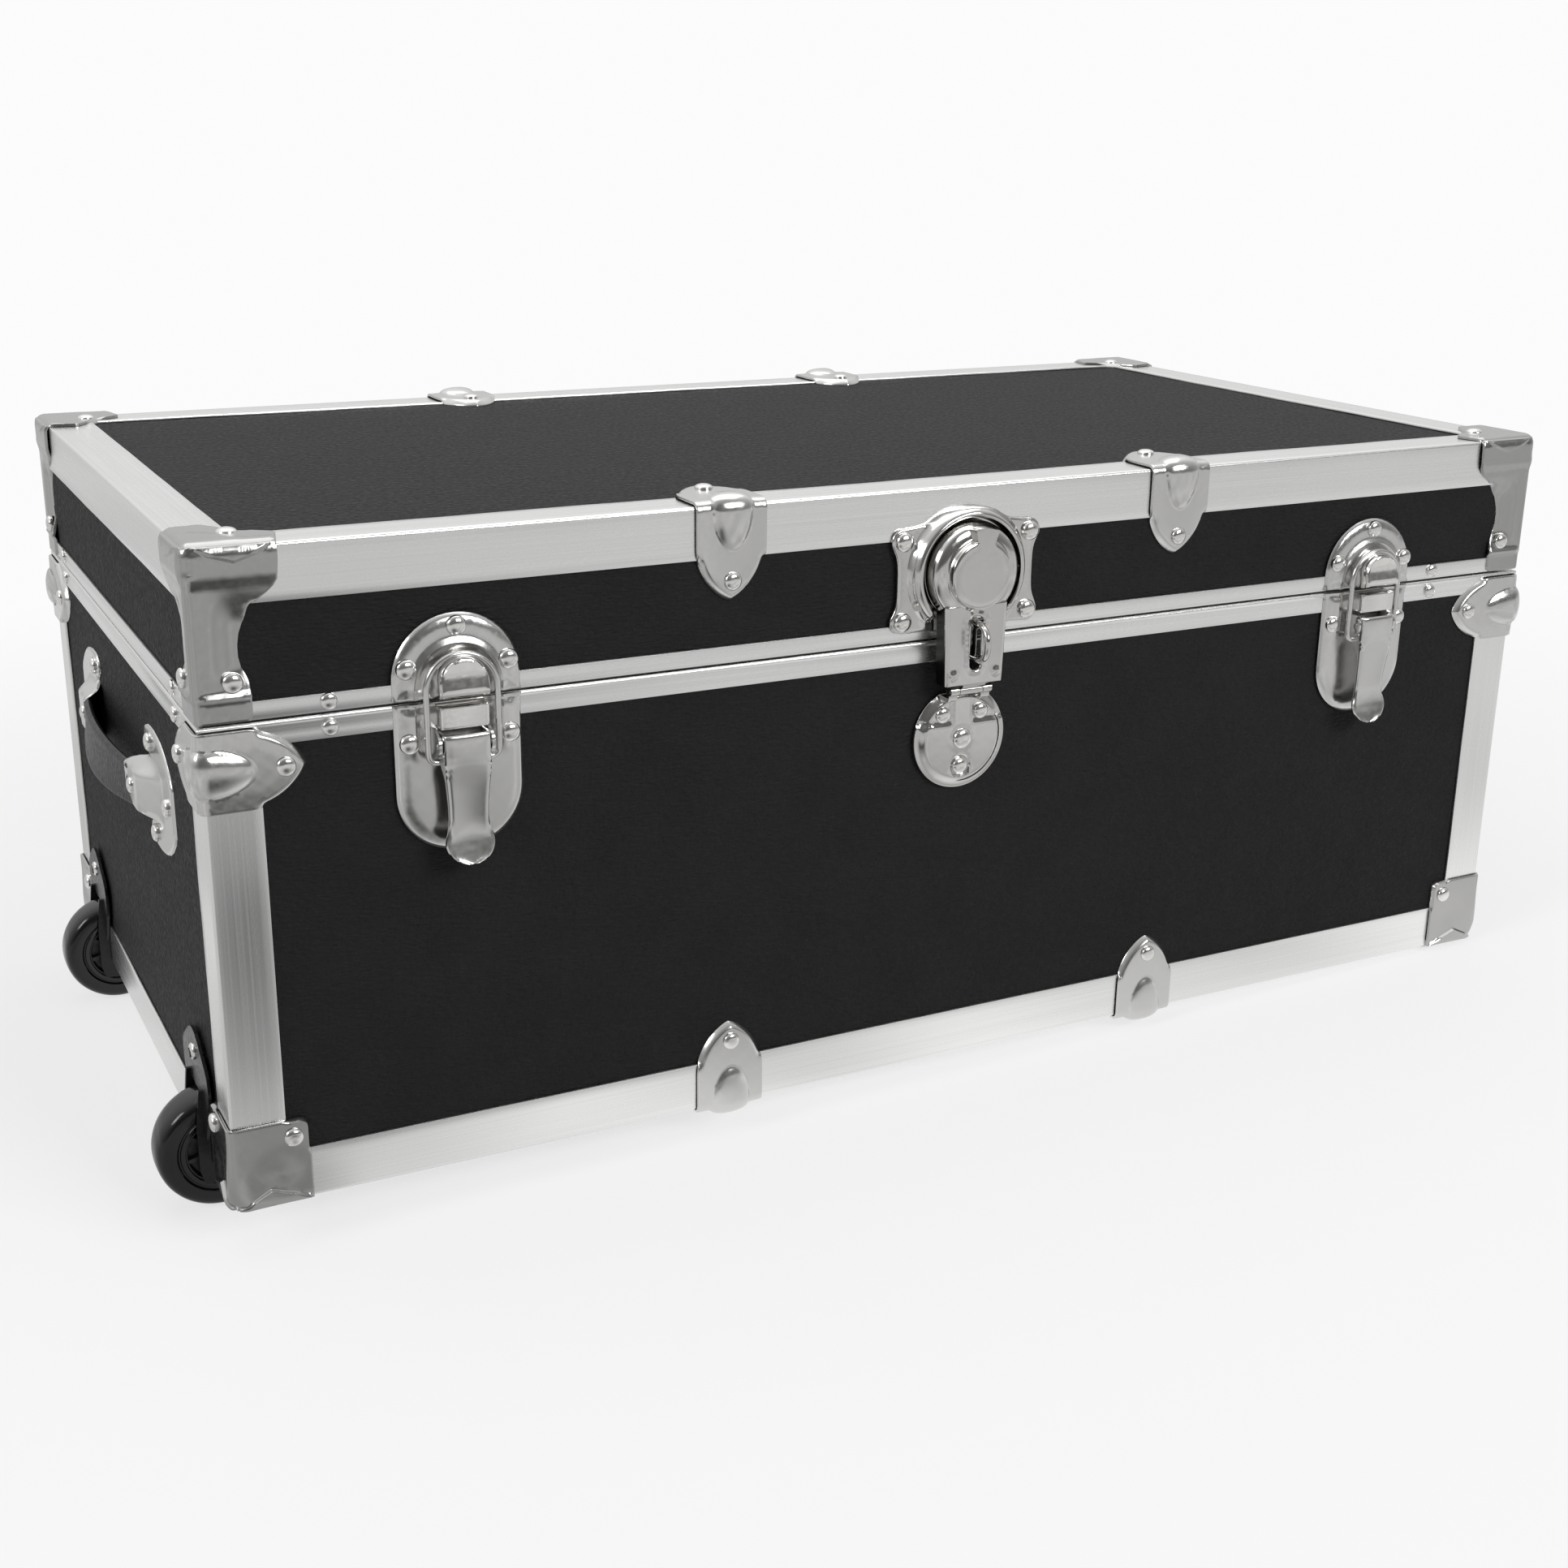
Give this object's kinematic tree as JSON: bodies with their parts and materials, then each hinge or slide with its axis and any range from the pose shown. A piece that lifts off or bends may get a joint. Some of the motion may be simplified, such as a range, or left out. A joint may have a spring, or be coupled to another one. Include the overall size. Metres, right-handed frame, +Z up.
{
  "type": "wheeled footlocker trunk",
  "caption": "Rectangular black storage trunk with aluminium edging, steel corners, draw latches, hasp lock, end strap handles and wheels set in one bottom end edge.",
  "frame": {"origin": "centre of the bottom panel's underside, inside the bottom edging", "axes": "+X along the length away from the wheeled end, -Y out of the latched front, +Z up"},
  "size_m": [0.8025, 0.4322, 0.3395],
  "materials": {
    "covered_plywood": "black embossed covering, matt",
    "aluminium_edging": "brushed along its length",
    "plated_steel": "satin nickel plate over pressed steel",
    "strap_leatherette": "pebbled black strap",
    "painted_bracket": "black enamel",
    "wheel_urethane": "glossy black"
  },
  "bodies": {
    "base": {"base_front_panel": "covered_plywood", "base_back_panel": "covered_plywood", "base_left_end_panel": "covered_plywood", "base_right_end_panel": "covered_plywood", "base_bottom_panel": "covered_plywood", "base_bottom_edging": "aluminium_edging", "wheel_end_edging": "aluminium_edging", "base_corner_edging_front_left": "aluminium_edging", "base_corner_edging_front_right": "aluminium_edging", "base_corner_edging_back_left": "aluminium_edging", "base_corner_edging_back_right": "aluminium_edging", "base_closing_strip": "aluminium_edging", "bottom_corner_front_left": "plated_steel", "bottom_corner_front_right": "plated_steel", "bottom_corner_back_left": "plated_steel", "bottom_corner_back_right": "plated_steel", "upper_corner_clamp_front_left": "plated_steel", "upper_corner_clamp_front_right": "plated_steel", "upper_corner_clamp_back_left": "plated_steel", "upper_corner_clamp_back_right": "plated_steel", "base_clamp_front_left": "plated_steel", "base_clamp_front_right": "plated_steel", "base_clamp_back_left": "plated_steel", "base_clamp_back_right": "plated_steel", "left_latch_base": "plated_steel", "right_latch_base": "plated_steel", "hasp_base": "plated_steel", "left_hinge_base_leaf": "plated_steel", "right_hinge_base_leaf": "plated_steel", "left_handle_bracket_front": "plated_steel", "left_handle_bracket_back": "plated_steel", "left_handle_strap": "strap_leatherette", "right_handle_bracket_front": "plated_steel", "right_handle_bracket_back": "plated_steel", "right_handle_strap": "strap_leatherette", "front_wheel_bracket": "painted_bracket", "back_wheel_bracket": "painted_bracket"},
    "lid": {"lid_shell": "covered_plywood", "lid_top_edging": "aluminium_edging", "lid_closing_strip": "aluminium_edging", "lid_corner_front_left": "plated_steel", "lid_corner_front_right": "plated_steel", "lid_corner_back_left": "plated_steel", "lid_corner_back_right": "plated_steel", "lid_clamp_front_left": "plated_steel", "lid_clamp_front_right": "plated_steel", "lid_clamp_back_left": "plated_steel", "lid_clamp_back_right": "plated_steel", "left_latch_strike": "plated_steel", "right_latch_strike": "plated_steel", "lock_plate": "plated_steel", "left_hinge_lid_leaf": "plated_steel", "right_hinge_lid_leaf": "plated_steel"},
    "left_lever": {"left_latch_lever": "plated_steel"},
    "left_bail": {"left_latch_bail": "plated_steel"},
    "right_lever": {"right_latch_lever": "plated_steel"},
    "right_bail": {"right_latch_bail": "plated_steel"},
    "hasp": {"hasp": "plated_steel"},
    "front_wheel": {"front_wheel": "wheel_urethane"},
    "back_wheel": {"back_wheel": "wheel_urethane"}
  },
  "joints": [
    {"name": "lid_hinge", "type": "hinge", "parent": "base", "child": "lid", "pos_m": [0, 0.2033, 0.2316], "axis": [-1, 0, 0], "range_deg": [0, 100]},
    {"name": "left_latch_lever_pivot", "type": "hinge", "parent": "base", "child": "left_lever", "pos_m": [-0.266, -0.2095, 0.2125], "axis": [-1, 0, 0], "range_deg": [0, 120]},
    {"name": "left_latch_bail_pivot", "type": "hinge", "parent": "left_lever", "child": "left_bail", "pos_m": [-0.266, -0.2075, 0.2045], "axis": [-1, 0, 0], "range_deg": [-150, 0]},
    {"name": "right_latch_lever_pivot", "type": "hinge", "parent": "base", "child": "right_lever", "pos_m": [0.266, -0.2095, 0.2125], "axis": [-1, 0, 0], "range_deg": [0, 120]},
    {"name": "right_latch_bail_pivot", "type": "hinge", "parent": "right_lever", "child": "right_bail", "pos_m": [0.266, -0.2075, 0.2045], "axis": [-1, 0, 0], "range_deg": [-150, 0]},
    {"name": "hasp_hinge", "type": "hinge", "parent": "base", "child": "hasp", "pos_m": [0, -0.209, 0.206], "axis": [1, 0, 0], "range_deg": [0, 120]},
    {"name": "front_wheel_spin", "type": "hinge", "parent": "base", "child": "front_wheel", "pos_m": [-0.376, -0.1355, 0.0029], "axis": [0, 1, 0], "continuous": true},
    {"name": "back_wheel_spin", "type": "hinge", "parent": "base", "child": "back_wheel", "pos_m": [-0.376, 0.1355, 0.0029], "axis": [0, 1, 0], "continuous": true}
  ],
  "couplings": [
    {"joint": "left_latch_bail_pivot", "follows": "left_latch_lever_pivot", "ratio": -1.1},
    {"joint": "right_latch_bail_pivot", "follows": "right_latch_lever_pivot", "ratio": -1.1}
  ]
}
